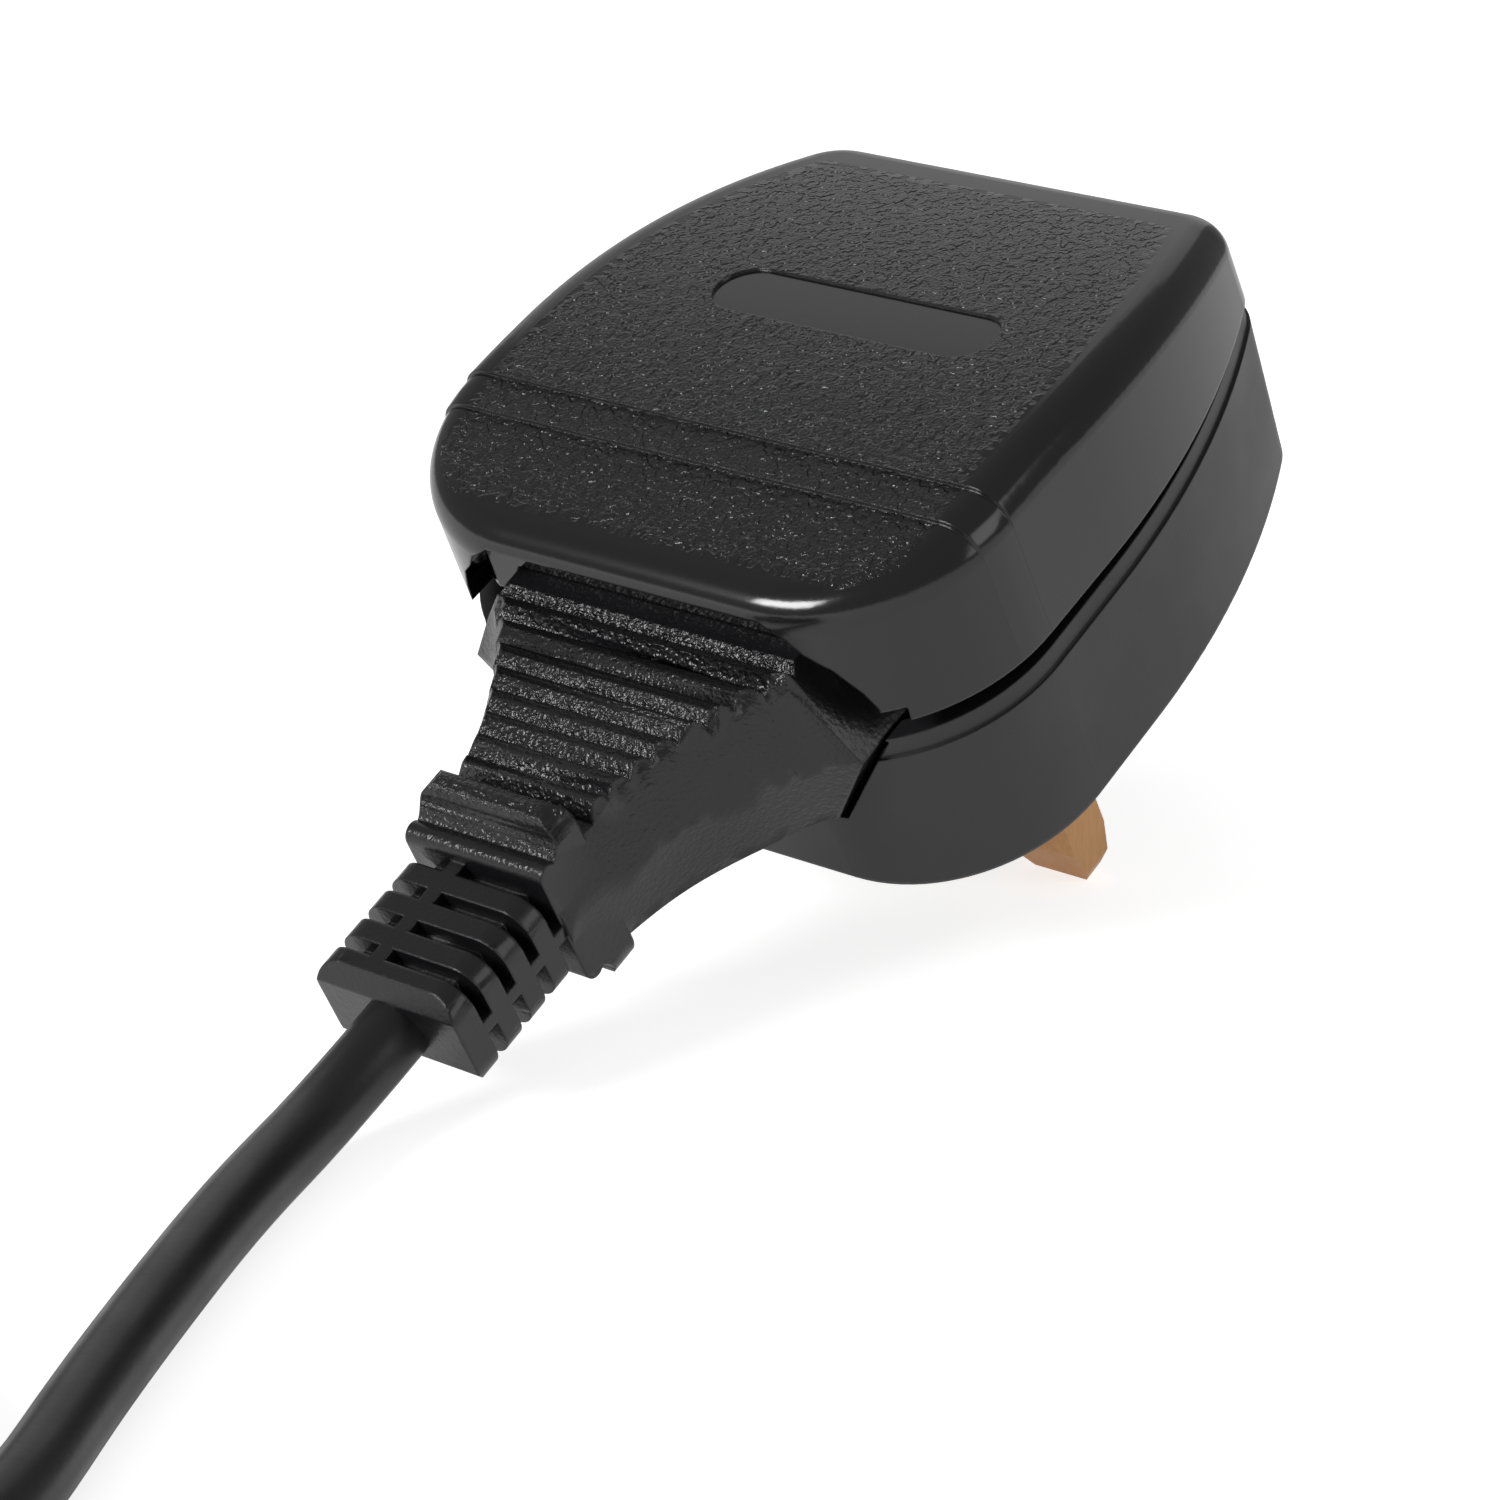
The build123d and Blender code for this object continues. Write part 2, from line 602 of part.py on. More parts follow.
# strain relief: a bar with rows of slots round a solid core
r0 = c0 - COLLAR_LENGTH
r1 = r0 - RELIEF_LENGTH
relief = rounded_y(RELIEF_HALF, RELIEF_HIGH, RELIEF_CORNER, r1, r0)
for s in (-1, 1):
    edge = AXIS_Z + s * RELIEF_HIGH
    slant = [(r1, edge), (r1 + RELIEF_SLANT, edge), (r1, AXIS_Z + s * (RELIEF_HIGH - 1.6))]
    relief -= prism_x(slant, -RELIEF_HALF, RELIEF_HALF)
core = box(-CORE_HALF, CORE_HALF, r1, r0, AXIS_Z - CORE_HIGH, AXIS_Z + CORE_HIGH)
webs = box(
    WEB_X - WEB_WIDE / 2, WEB_X + WEB_WIDE / 2, r1, r0, AXIS_Z - RELIEF_HIGH, AXIS_Z + RELIEF_HIGH
)
webs += box(-RELIEF_HALF, RELIEF_HALF, r1, r0, AXIS_Z - SIDE_WEB / 2, AXIS_Z + SIDE_WEB / 2)
for k in range(SLOTS):
    y = r0 - k * SLOT_PITCH
    band = box(-9, 9, y - SLOT_LENGTH, y, AXIS_Z - 9, AXIS_Z + 9)
    relief -= band - core - webs
plug += relief
for s in (-1, 1):
    plug -= rod_y(s * half_round, AXIS_Z, plug_back - ROUND_BURY, plug_back, ROUND_SHANK_R)

round_pins = {}
for side, s in (("left", -1), ("right", 1)):
    x0 = s * half_round
    y1 = plug_back + ROUND_SLEEVE_LENGTH
    y2 = plug_back + ROUND_LENGTH
    pin = rod_y(x0, AXIS_Z, plug_back - ROUND_BURY, y1, ROUND_SHANK_R)
    tip = rod_y(x0, AXIS_Z, y1, y2, ROUND_TIP_R)
    tip = fillet(tip.edges().group_by(Axis.Y)[-1], 1.2)
    round_pins["plug_pin_" + side] = pin + tip
    sleeve = rod_y(x0, AXIS_Z, plug_back, y1, ROUND_SLEEVE_R)
    round_pins["plug_pin_sleeve_" + side] = sleeve - rod_y(
        x0, AXIS_Z, plug_back, y1, ROUND_SHANK_R
    )

# ---------------------------------------------------------------- contact block and contacts
block = box(-BLOCK_HALF, BLOCK_HALF, -BLOCK_FRONT, BLOCK_BACK, BLOCK_FOOT, BLOCK_TOP)
block = chamfer(block.edges().filter_by(Axis.Z), 1.5)
contact_front = CONTACT_BACK - CONTACT_LENGTH
half_contact = CONTACT_SIZE / 2
contacts = {}
for side, s in (("neutral", -1), ("live", 1)):
    x0 = s * half_round
    block -= box(
        x0 - half_contact - SLOT_GAP,
        x0 + half_contact + SLOT_GAP,
        contact_front - SLOT_GAP,
        CONTACT_BACK + SLOT_GAP,
        BLOCK_FOOT - 1,
        BLOCK_FOOT + CONTACT_SIZE + SLOT_GAP,
    )
    block -= rod_y(x0, AXIS_Z, -BLOCK_FRONT - 1, contact_front, ENTRY_R)
    spring = box(
        x0 - half_contact,
        x0 + half_contact,
        contact_front,
        CONTACT_BACK,
        BLOCK_FOOT,
        BLOCK_FOOT + CONTACT_SIZE,
    )
    spring -= rod_y(x0, AXIS_Z, contact_front - 1, CONTACT_BACK + 1, ROUND_TIP_R + RUN_GAP)
    spring -= box(
        x0 - 0.4, x0 + 0.4, contact_front - 1, CONTACT_BACK + 1, AXIS_Z, BLOCK_TOP
    )
    contacts[side + "_contact"] = spring
block -= rod(0, LOCK_Y, BLOCK_FOOT - 1, BLOCK_TOP + 1, LOCK_SHANK_R + LOCK_GAP)
screws = {}
for side, y in (("front", POST_SCREW_FRONT), ("rear", POST_SCREW_REAR)):
    block -= rod(0, y, BLOCK_FOOT - 1, BLOCK_TOP + 1, SCREW_R)
    screw = rod(0, y, BLOCK_FOOT - 5, BLOCK_TOP, SCREW_R)
    head = rod(0, y, BLOCK_TOP, BLOCK_TOP + SCREW_HEAD_HIGH, SCREW_HEAD_R)
    head = fillet(head.edges().group_by(Axis.Z)[-1], 0.5)
    head -= box(-5, 5, y - 0.3, y + 0.3, BLOCK_TOP + SCREW_HEAD_HIGH - 0.7, BLOCK_TOP + 9)
    screws["block_screw_" + side] = screw + head
# the neutral contact stands on its strip, the live one on the load strip
head_top = BASE_FLOOR + HEAD_HIGH
half_strip = STRIP_WIDE / 2
n0 = -half_pins
shelf = BLOCK_FOOT - STRIP_THICK
riser = core_half_y + HEAD_SIDE
neutral_strip = box(
    n0 - half_strip, n0 + half_strip, -riser, riser, head_top, head_top + STRIP_THICK
)
neutral_strip += box(
    n0 - half_strip, n0 + half_strip, riser - STRIP_THICK, riser, head_top, BLOCK_FOOT
)
neutral_strip += box(
    n0 - half_strip, n0 + half_strip, riser - STRIP_THICK, LOCK_Y + 6.0, shelf, BLOCK_FOOT
)

# ---------------------------------------------------------------- fuse, clips and strips
cap_z = CLIP_POST_TOP + STRIP_THICK
fuse = {}
half_fuse = FUSE_LENGTH / 2
tube_half = half_fuse - 0.8
fuse["fuse_tube"] = rod_x(FUSE_Y, FUSE_Z, -tube_half, tube_half, FUSE_TUBE_R)
strip_front = BLOCK_BACK + 0.25
for side, s in (("load", -1), ("live", 1)):
    x0, x1 = sorted((s * half_fuse, s * (half_fuse - FUSE_CAP_LENGTH)))
    cap = rod_x(FUSE_Y, FUSE_Z, x0, x1, FUSE_CAP_R)
    fuse["fuse_cap_" + side] = cap - rod_x(FUSE_Y, FUSE_Z, -tube_half, tube_half, FUSE_TUBE_R)
    c0x, c1x = s * clip_x - clip_half, s * clip_x + clip_half
    clip_in = FUSE_CAP_R + 0.03
    clip = rod_x(FUSE_Y, FUSE_Z, c0x, c1x, clip_in + CLIP_THICK)
    clip -= rod_x(FUSE_Y, FUSE_Z, c0x - 1, c1x + 1, clip_in)
    clip -= box(c0x - 1, c1x + 1, FUSE_Y - 2.4, FUSE_Y + 2.4, FUSE_Z, FUSE_Z + 9)
    foot = box(c0x, c1x, post_front + 0.6, post_rear, cap_z, FUSE_Z - clip_in + 0.2)
    foot -= rod_x(FUSE_Y, FUSE_Z, c0x - 1, c1x + 1, clip_in)
    fuse["fuse_clip_" + side] = clip + foot
x0, x1 = clip_x - clip_half, clip_x + clip_half + 1.0
live_strip = box(x0, x1, -riser, strip_front + STRIP_THICK, head_top, head_top + STRIP_THICK)
live_strip += box(x0, x1, strip_front, strip_front + STRIP_THICK, head_top, cap_z)
live_strip += box(x0, x1, strip_front, post_rear, CLIP_POST_TOP, cap_z)
c0x, c1x = -clip_x - clip_half, -clip_x + clip_half
load_strip = box(c0x, c1x, strip_front, post_rear, CLIP_POST_TOP, cap_z)
load_strip += box(c0x, c1x, strip_front, strip_front + STRIP_THICK, CLIP_POST_TOP, BLOCK_FOOT)
load_strip += box(
    c0x, half_round + half_strip, strip_front, strip_front + STRIP_THICK, shelf - 2.2, BLOCK_FOOT
)
load_strip += box(
    half_round - half_strip,
    half_round + half_strip,
    LOCK_Y + 4.5,
    strip_front + STRIP_THICK,
    shelf,
    BLOCK_FOOT,
)

# ---------------------------------------------------------------- locking screw, backed out
lock_screw = rod(0, LOCK_Y, LOCK_SINK, lock_seat, LOCK_HEAD_R)
lock_screw = chamfer(lock_screw.edges().group_by(Axis.Z)[0], 0.4)
lock_screw -= box(-5, 5, LOCK_Y - 0.45, LOCK_Y + 0.45, 0, LOCK_SINK + 1.1)
lock_screw += rod(0, LOCK_Y, lock_seat, LOCK_TIP, LOCK_SHANK_R)

# ---------------------------------------------------------------- lead on the surface
lead_out = Vector(0, -math.cos(tilt), -math.sin(tilt))
lead_exit = (POSE * Pos(0, r1, AXIS_Z)).position
landing = lead_exit + lead_out * ((lead_exit.Z - LEAD_R) / math.sin(tilt))


def heading(start, length, angle):
    """Next point of a level run, the angle turned from -Y towards +X."""
    a = math.radians(angle)
    return start + Vector(length * math.sin(a), -length * math.cos(a), 0)


def tube(points, name):
    """Round lead along straight runs joined by the largest arcs that fit."""
    radii = []
    for before, here, after in zip(points, points[1:], points[2:]):
        a, b = here - before, after - here
        run = min(a.length, b.length)
        turn = a.get_angle(b)
        radii.append(0.45 * run / math.tan(math.radians(turn / 2)))
    path = FilletPolyline(*points, radius=radii)
    start = Plane(origin=points[0], z_dir=points[1] - points[0])
    body = sweep(start * Circle(LEAD_R), path=path)
    ratio = body.volume / (math.pi * LEAD_R**2 * path.length)
    print(name, "radii", [round(r, 1) for r in radii], "length", round(path.length, 1))
    print(name, "volume against section times length", round(ratio, 4))
    return body, path.length


route = [lead_exit, landing]
for length, angle in ((13.6, 20.0), (14.6, 24.5), (12.0, 26.0), (11.5, 28.0), (9.0, 15.0)):
    route.append(heading(route[-1], length, angle))
route.append(heading(route[-1], 8.5, 0.0))
lead, lead_length = tube(route, "lead")

edge_radius = COIL_MEAN + COIL_WIDE / 2
stub_radius = edge_radius - LEAD_R - 0.1
coil_centre = Vector(route[-1].X - stub_radius, route[-1].Y - STUB, 0)


def bundle(inset, arc, start):
    """Ring of turns, its section inset, over an arc."""
    section = Plane.XZ * Pos(COIL_MEAN, COIL_LIFT + COIL_HIGH / 2) * RectangleRounded(
        COIL_WIDE - 2 * inset, COIL_HIGH - 2 * inset, LEAD_R - inset
    )
    return Rot(0, 0, start) * revolve(section, Axis.Z, arc)


coil = bundle(0, 360, 0)
tie_arc = math.degrees(TIE_WIDE / COIL_MEAN)
tie = bundle(0, tie_arc, 90 - tie_arc / 2) - bundle(TIE_THICK, tie_arc, 90 - tie_arc / 2)
coil -= tie
coil += rod_y(stub_radius, LEAD_R, 0, STUB, LEAD_R)
coil = Pos(*coil_centre) * coil
tie = Pos(*coil_centre) * tie

# the last of the lead rises out of the upper turns to the connector that lies on them
conn_z = COIL_LIFT + COIL_HIGH + 0.05 + CONN_HIGH / 2
tail_route = [
    coil_centre + Vector(x, y, conn_z - below)
    for x, y, below in (
        (35.5, 9.1, 8.1),
        (35.5, 0.0, 7.3),
        (32.66, -8.75, 5.3),
        (27.25, -16.19, 3.0),
        (19.81, -21.6, 1.1),
        (11.06, -24.44, 0.0),
        (1.96, -24.44, 0.0),
    )
]
tail_end = tail_route[-1]
tail, tail_length = tube(tail_route, "lead_tail")
turns = round((1500 - lead_length - tail_length) / (2 * math.pi * COIL_MEAN), 1)
print("turns in the coil for a 1.5 m lead:", turns)

# ---------------------------------------------------------------- figure-of-eight connector
k0 = CONN_RELIEF
k1 = k0 + CONN_GRIP
k2 = k1 + CONN_NOSE
conn = rod_y(0, 0, 0, k0, CONN_RELIEF_R)
for k in range(3):
    y = 2.5 + k * 3.6
    conn -= rod_y(0, 0, y, y + 1.6, CONN_RELIEF_R + 1) - rod_y(0, 0, y, y + 1.6, LEAD_R + 0.2)
grip = box(-CONN_WIDE / 2, CONN_WIDE / 2, k0, k1, -CONN_HIGH / 2, CONN_HIGH / 2)
grip = chamfer(grip.edges().group_by(Axis.Y)[0].filter_by(Axis.Z), 6.0, 4.4)
grip = fillet(grip.edges().filter_by(Axis.Y), 2.2)
conn += grip
for s in (-1, 1):
    conn += rod_y(s * CONN_PITCH / 2, 0, k1, k2, CONN_LOBE)
waist = CONN_LOBE * 0.8
conn += box(-CONN_PITCH / 2, CONN_PITCH / 2, k1, k2, -waist, waist)
sleeve_end = k2 - CONN_ENTRY_DEEP
sleeve_start = sleeve_end - CONN_SLEEVE_LENGTH
conn_place = Pos(tail_end.X, tail_end.Y, conn_z) * Rot(0, 0, 90)
sockets = {}
for side, s in (("left", -1), ("right", 1)):
    x0 = s * CONN_PITCH / 2
    conn -= rod_y(x0, 0, sleeve_end - 1, k2 + 1, CONN_ENTRY)
    conn -= rod_y(x0, 0, sleeve_start, sleeve_end, CONN_SLEEVE)
    sleeve = rod_y(x0, 0, sleeve_start, sleeve_end, CONN_SLEEVE)
    sleeve -= rod_y(x0, 0, sleeve_start - 1, sleeve_end + 1, CONN_BORE)
    sockets["connector_contact_" + side] = conn_place * sleeve
conn = conn_place * conn

# ---------------------------------------------------------------- lay down, centre and write
nodes = {
    "base_shell": base,
    "cover": shell,
    "hinge_pin": hinge_pin,
    "locking_screw": lock_screw,
    "earth_pin": earth,
    "plug_body": plug,
    "contact_block": block,
    "neutral_strip": neutral_strip,
    "live_strip": live_strip,
    "load_strip": load_strip,
}
for group in (pins, round_pins, contacts, screws, fuse):
    nodes.update(group)
nodes = {name: POSE * solid for name, solid in nodes.items()}
lows = [solid.bounding_box().min.Y for solid in nodes.values()]
highs = [solid.bounding_box().max.Y for solid in nodes.values()]
SHIFT = -(min(lows) + max(highs)) / 2
cord = {
    "lead": lead,
    "lead_coil": coil,
    "coil_tie": tie,
    "lead_tail": tail,
    "connector_body": conn,
}
cord.update(sockets)
nodes.update(cord)
print("shift", round(SHIFT, 4), "lift", round(LIFT, 4))


def at(y, z, x=0.0):
    """Place of a point of the plug's frame in the finished model."""
    p = (Pos(0, SHIFT, 0) * POSE * Pos(x, y, z)).position
    return [round(v, 4) for v in (p.X, p.Y, p.Z)]


print("hinge axis", at(hinge_y, hinge_z))
print("engagement face", at(-8.0, 0.0))
print("live pin root", at(0.0, 0.0, half_pins))
print("lead exit", at(r1, AXIS_Z))
print("coil centre", round(coil_centre.X, 3), round(coil_centre.Y + SHIFT, 3))
for side, s in (("left", -1), ("right", 1)):
    x0 = tail_end.X - sleeve_end
    y0 = tail_end.Y + s * CONN_PITCH / 2 + SHIFT
    print("socket", side, round(x0, 4), round(y0, 4), round(conn_z, 4))

os.makedirs("parts", exist_ok=True)
for name, solid in nodes.items():
    solid = Pos(0, SHIFT, 0) * solid
    export_step(solid, "parts/" + name + ".step")
print(len(nodes), "nodes")
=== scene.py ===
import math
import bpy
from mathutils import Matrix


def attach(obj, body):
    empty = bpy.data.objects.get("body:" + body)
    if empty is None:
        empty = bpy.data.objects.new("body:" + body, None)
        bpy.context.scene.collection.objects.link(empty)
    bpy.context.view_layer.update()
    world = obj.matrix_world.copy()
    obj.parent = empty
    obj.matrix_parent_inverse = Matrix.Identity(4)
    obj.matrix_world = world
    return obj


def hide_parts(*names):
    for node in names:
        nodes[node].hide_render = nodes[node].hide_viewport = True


bl_info = {
    "name": "Converter Plug with Lead",
    "version": (1, 0, 0),
    "blender": (4, 5, 0),
    "location": "3D Viewport > Sidebar > Plug",
    "description": "Dresses a fused converter plug, its moulded lead plug and its lead",
    "category": "Object",
}

import bpy
from bpy.props import FloatProperty, FloatVectorProperty, IntProperty, PointerProperty
from bpy.types import Operator, Panel, PropertyGroup
from mathutils import Matrix, Vector

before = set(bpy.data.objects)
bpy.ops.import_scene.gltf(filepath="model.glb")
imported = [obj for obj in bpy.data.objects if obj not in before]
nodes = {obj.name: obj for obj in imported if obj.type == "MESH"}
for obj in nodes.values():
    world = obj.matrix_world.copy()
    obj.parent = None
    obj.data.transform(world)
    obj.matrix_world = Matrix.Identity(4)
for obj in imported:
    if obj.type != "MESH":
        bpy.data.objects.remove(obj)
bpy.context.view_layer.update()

MM = 0.001
# the plug leans nose-down on two pin tips; in its own frame the engagement face is at z = 0,
# the line and neutral pins are at y = 0 and the lead leaves towards -y
LEAN = math.radians(27.0)
PLUG_PLACE = (0, 0.0101405, 0.0162248)
PLUG_TO_WORLD = Matrix.Translation(PLUG_PLACE) @ Matrix.Rotation(LEAN, 4, "X")
WORLD_TO_PLUG = PLUG_TO_WORLD.inverted()
PLUG_UP = (0, -math.sin(LEAN), math.cos(LEAN))
PLUG_TO_LEAD = (0, -math.cos(LEAN), -math.sin(LEAN))


def linear(text):
    """An sRGB hex colour as linear red, green and blue."""
    values = [int(text[i : i + 2], 16) / 255 for i in (1, 3, 5)]
    return [v / 12.92 if v <= 0.04045 else ((v + 0.055) / 1.055) ** 2.4 for v in values]


# ------------------------------------------------------------------ sizes and colours


class PlugFinishSettings(PropertyGroup):
    cover_colour: FloatVectorProperty(
        name="Cover Colour", description="Moulded ABS of the cover", subtype="COLOR",
        size=3, min=0, max=1, default=linear("#151516"),
    )
    base_colour: FloatVectorProperty(
        name="Base Colour", description="Moulded ABS of the base", subtype="COLOR",
        size=3, min=0, max=1, default=linear("#19191b"),
    )
    moulding_colour: FloatVectorProperty(
        name="Moulding Colour", description="Flexible PVC moulded round the two pins",
        subtype="COLOR", size=3, min=0, max=1, default=linear("#18181a"),
    )
    brass_colour: FloatVectorProperty(
        name="Brass Colour", description="Dull brass of the flat pins", subtype="COLOR",
        size=3, min=0, max=1, default=linear("#dca976"),
    )
    grain_size: FloatProperty(
        name="Grain Size", description="Width of one pebble of the moulded leather grain",
        subtype="DISTANCE", unit="LENGTH", default=0.5 * MM, min=0.1 * MM, max=5 * MM,
    )


class PlugLeadSettings(PropertyGroup):
    diameter: FloatProperty(
        name="Diameter", description="Outside diameter of the round lead",
        subtype="DISTANCE", unit="LENGTH", default=5.0 * MM, min=1 * MM, max=12 * MM,
    )
    length: FloatProperty(
        name="Length", description="Whole length of the lead",
        subtype="DISTANCE", unit="LENGTH", default=1.5, min=0.1, max=10,
    )
    points_per_turn: IntProperty(
        name="Points per Turn", description="Control points in one turn of the bundle",
        default=18, min=12, max=48,
    )


class PlugStageSettings(PropertyGroup):
    floor_colour: FloatVectorProperty(
        name="Floor Colour", description="Pale sweep under the plug", subtype="COLOR",
        size=3, min=0, max=1, default=linear("#f4f4f4"),
    )
    lamp_power: FloatProperty(
        name="Lamp Power", description="Power of the main softbox in watts",
        default=1.4, min=0, max=50,
    )


# ------------------------------------------------------------------ materials
# places and radii in millimetres, in the plug's own frame; a pair runs from no grain to full grain

PANEL_ARC_BEYOND = 40.87  # the centres of the panel's side arcs lie this far past the middle
PANEL_ARC_START = 1.6  # and this far behind the pin line, with straight sides ahead of it
PANEL_ARC_EDGE = (62.2, 61.1)
PANEL_BACK_EDGE = (27.0, 26.2)
PANEL_FRONT_EDGE = (-16.5, -15.5)
PANEL_LEVEL = 0.9  # least share of straight up that still counts as the top
PLATE_CENTRE = (1.6, 8.5)
PLATE_STRAIGHT = 9.65  # half length of the straight part between the two round ends
PLATE_ROUND = 2.72
RELIEF_EDGE = (-39.0, -37.0)

# edges of the mesh are shaded as if rounded by these radii
COVER_ROUND = 0.25
BASE_ROUND = 0.2
PVC_ROUND = 0.3
ROUND_SAMPLES = 6

# depths of the patterns
GRAIN_DEPTH = 0.20
PIT_DEPTH = 0.04

ABS_IOR = 1.53
PVC_IOR = 1.5
LINE_SHADE = 0.72  # how dark the lines in drawn metal are


def add_node(tree, kind, links=None, **settings):
    """Adds one node, sets its values and links its inputs from other sockets."""
    made = tree.nodes.new(kind)
    for key, value in settings.items():
        if key.startswith("in_"):
            made.inputs[int(key[3:])].default_value = value
        else:
            setattr(made, key, value)
    for key, socket in (links or {}).items():
        tree.links.new(socket, made.inputs[key])
    return made


def fresh_material(name):
    """An empty node material with its Principled shader and its output."""
    material = bpy.data.materials.new(name)
    material.use_nodes = True
    tree = material.node_tree
    tree.nodes.clear()
    shader = add_node(tree, "ShaderNodeBsdfPrincipled")
    add_node(tree, "ShaderNodeOutputMaterial", {"Surface": shader.outputs[0]})
    return material, tree, shader


def plug_coordinates(tree):
    """Object coordinates turned into the plug's own frame, in metres."""
    place = add_node(tree, "ShaderNodeTexCoord")
    mapping = add_node(tree, "ShaderNodeMapping", {"Vector": place.outputs["Object"]})
    mapping.inputs["Rotation"].default_value = WORLD_TO_PLUG.to_euler()
    mapping.inputs["Location"].default_value = WORLD_TO_PLUG.to_translation()
    return mapping.outputs[0]


def facing(tree, direction):
    """How squarely the surface faces a direction, from -1 to 1."""
    surface = add_node(tree, "ShaderNodeNewGeometry")
    share = add_node(
        tree, "ShaderNodeVectorMath", {0: surface.outputs["Normal"]}, operation="DOT_PRODUCT"
    )
    share.inputs[1].default_value = direction
    return share.outputs["Value"]


def raise_surface(tree, shader, height, strength, depth, rounding=None):
    """Bumps the shader's surface by a pattern, over edges rounded by a radius."""
    links = {"Height": height}
    if rounding:
        edges = add_node(tree, "ShaderNodeBevel", samples=ROUND_SAMPLES, in_0=rounding * MM)
        links["Normal"] = edges.outputs[0]
    bump = add_node(tree, "ShaderNodeBump", links)
    bump.inputs["Strength"].default_value = strength
    bump.inputs["Distance"].default_value = depth * MM
    tree.links.new(bump.outputs[0], shader.inputs["Normal"])


def panel_mask(tree, place):
    """One on the cover's grained panel and nought on its smooth rim and its sunk plate."""
    split = add_node(tree, "ShaderNodeSeparateXYZ", {0: place})
    # the panel is the plan outline pulled in by its smooth rim
    across = add_node(tree, "ShaderNodeMath", {0: split.outputs[0]}, operation="ABSOLUTE")
    across = add_node(
        tree, "ShaderNodeMath", {0: across.outputs[0]}, operation="ADD",
        in_1=PANEL_ARC_BEYOND * MM,
    )
    along = add_node(
        tree, "ShaderNodeMath", {0: split.outputs[1]}, operation="SUBTRACT",
        in_1=PANEL_ARC_START * MM,
    )
    along = add_node(
        tree, "ShaderNodeMath", {0: along.outputs[0]}, operation="MAXIMUM", in_1=0.0
    )
    reach = add_node(
        tree, "ShaderNodeCombineXYZ", {0: across.outputs[0], 1: along.outputs[0]}
    )
    reach = add_node(tree, "ShaderNodeVectorMath", {0: reach.outputs[0]}, operation="LENGTH")
    masks = []
    for value, (none, full) in (
        (reach.outputs["Value"], PANEL_ARC_EDGE),
        (split.outputs[1], PANEL_BACK_EDGE),
        (split.outputs[1], PANEL_FRONT_EDGE),
    ):
        masks.append(
            add_node(
                tree, "ShaderNodeMapRange", {"Value": value}, in_1=none * MM, in_2=full * MM
            )
        )
    masks.append(
        add_node(
            tree, "ShaderNodeMath", {0: facing(tree, PLUG_UP)}, operation="GREATER_THAN",
            in_1=PANEL_LEVEL,
        )
    )
    # the sunk plate is smooth
    plate = add_node(
        tree, "ShaderNodeMath", {0: split.outputs[0]}, operation="SUBTRACT",
        in_1=PLATE_CENTRE[0] * MM,
    )
    plate = add_node(tree, "ShaderNodeMath", {0: plate.outputs[0]}, operation="ABSOLUTE")
    plate = add_node(
        tree, "ShaderNodeMath", {0: plate.outputs[0]}, operation="SUBTRACT",
        in_1=PLATE_STRAIGHT * MM,
    )
    plate = add_node(
        tree, "ShaderNodeMath", {0: plate.outputs[0]}, operation="MAXIMUM", in_1=0.0
    )
    beside = add_node(
        tree, "ShaderNodeMath", {0: split.outputs[1]}, operation="SUBTRACT",
        in_1=PLATE_CENTRE[1] * MM,
    )
    plate = add_node(
        tree, "ShaderNodeCombineXYZ", {0: plate.outputs[0], 1: beside.outputs[0]}
    )
    plate = add_node(tree, "ShaderNodeVectorMath", {0: plate.outputs[0]}, operation="LENGTH")
    mask = add_node(
        tree, "ShaderNodeMath", {0: plate.outputs["Value"]}, operation="GREATER_THAN",
        in_1=PLATE_ROUND * MM,
    )
    for other in masks:
        mask = add_node(
            tree, "ShaderNodeMath", {0: mask.outputs[0], 1: other.outputs[0]},
            operation="MULTIPLY",
        )
    return mask.outputs[0]


def moulded_abs_cover(finish):
    """Injection-moulded ABS: a glossy rim round a spark-eroded leather grain."""
    material, tree, shader = fresh_material("Moulded_ABS_cover")
    place = plug_coordinates(tree)
    mask = panel_mask(tree, place)
    # flat-topped islands with steep sides, as the spark leaves them in the mould; the real
    # pebbles are a little smaller, and are drawn at this size so that they show
    per_metre = 1.0 / finish.grain_size
    island = add_node(
        tree, "ShaderNodeTexNoise", {"Vector": place}, in_2=per_metre * 0.75, in_3=1.0
    )
    island = add_node(
        tree, "ShaderNodeMapRange", {"Value": island.outputs["Fac"]}, in_1=0.45, in_2=0.55
    )
    fine = add_node(
        tree, "ShaderNodeTexNoise", {"Vector": place}, in_2=per_metre * 2.4, in_3=2.0
    )
    grain = add_node(
        tree, "ShaderNodeMixRGB", {1: island.outputs[0], 2: fine.outputs["Fac"]}, in_0=0.35
    )
    level = add_node(
        tree, "ShaderNodeMath", {0: grain.outputs[0]}, operation="SUBTRACT", in_1=0.5
    )
    height = add_node(
        tree, "ShaderNodeMath", {0: level.outputs[0], 1: mask}, operation="MULTIPLY"
    )
    raise_surface(tree, shader, height.outputs[0], 1.0, GRAIN_DEPTH, COVER_ROUND)
    rough = add_node(tree, "ShaderNodeMapRange", {"Value": mask}, in_3=0.15, in_4=0.26)
    tree.links.new(rough.outputs[0], shader.inputs["Roughness"])
    shader.inputs["Base Color"].default_value = (*finish.cover_colour, 1)
    shader.inputs["IOR"].default_value = ABS_IOR
    return material


